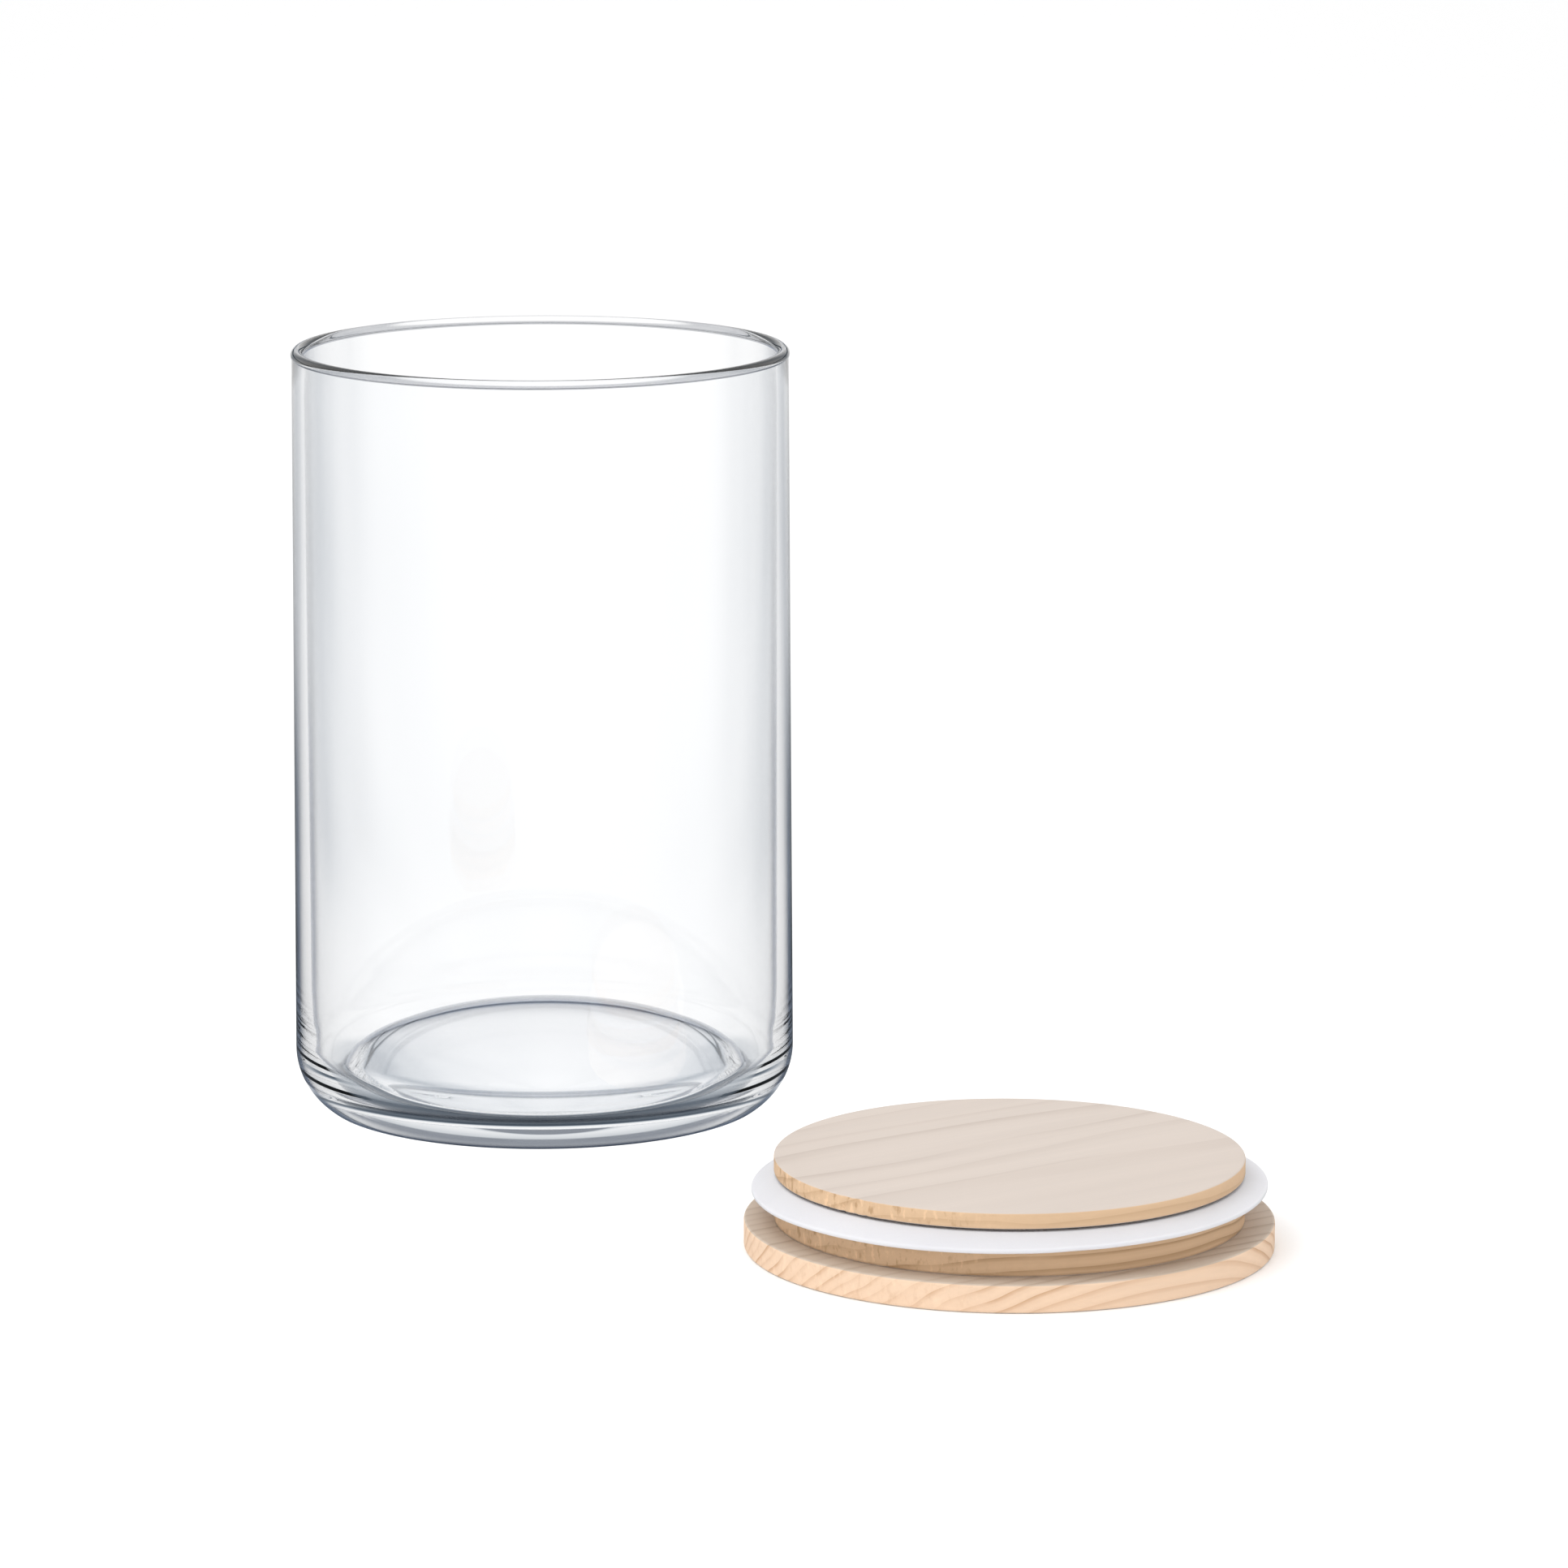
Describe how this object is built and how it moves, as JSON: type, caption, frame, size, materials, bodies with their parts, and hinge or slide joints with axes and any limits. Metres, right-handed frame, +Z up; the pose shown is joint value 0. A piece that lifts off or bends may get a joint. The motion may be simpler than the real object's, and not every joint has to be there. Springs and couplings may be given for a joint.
{
  "type": "glass storage canister",
  "caption": "Clear straight-sided glass storage jar, open at the top, with its wooden plug lid and soft seal lying upside down beside it.",
  "frame": {"origin": "middle of the jar's foot, on the jar's axis, at the height of the table", "axes": "+Z up along the jar's axis; the lid lies beside the jar, towards +X and -Y"},
  "size_m": [0.2303, 0.2608, 0.1855],
  "materials": {
    "clear_glass": "clear, polished, colourless soda-lime glass",
    "cover_wood": "sanded, unlacquered pale wood",
    "plug_wood": "sanded, unlacquered pale wood",
    "silicone": "matt, milky translucent silicone"
  },
  "bodies": {
    "jar": {"glass_jar": "clear_glass"},
    "lid": {"lid_cover": "cover_wood", "lid_plug": "plug_wood", "gasket": "silicone"}
  },
  "joints": [
    {"name": "lid_lift", "type": "slide", "parent": "jar", "child": "lid", "axis": [0, 0, 1], "range_m": [0, 0.24]}
  ]
}
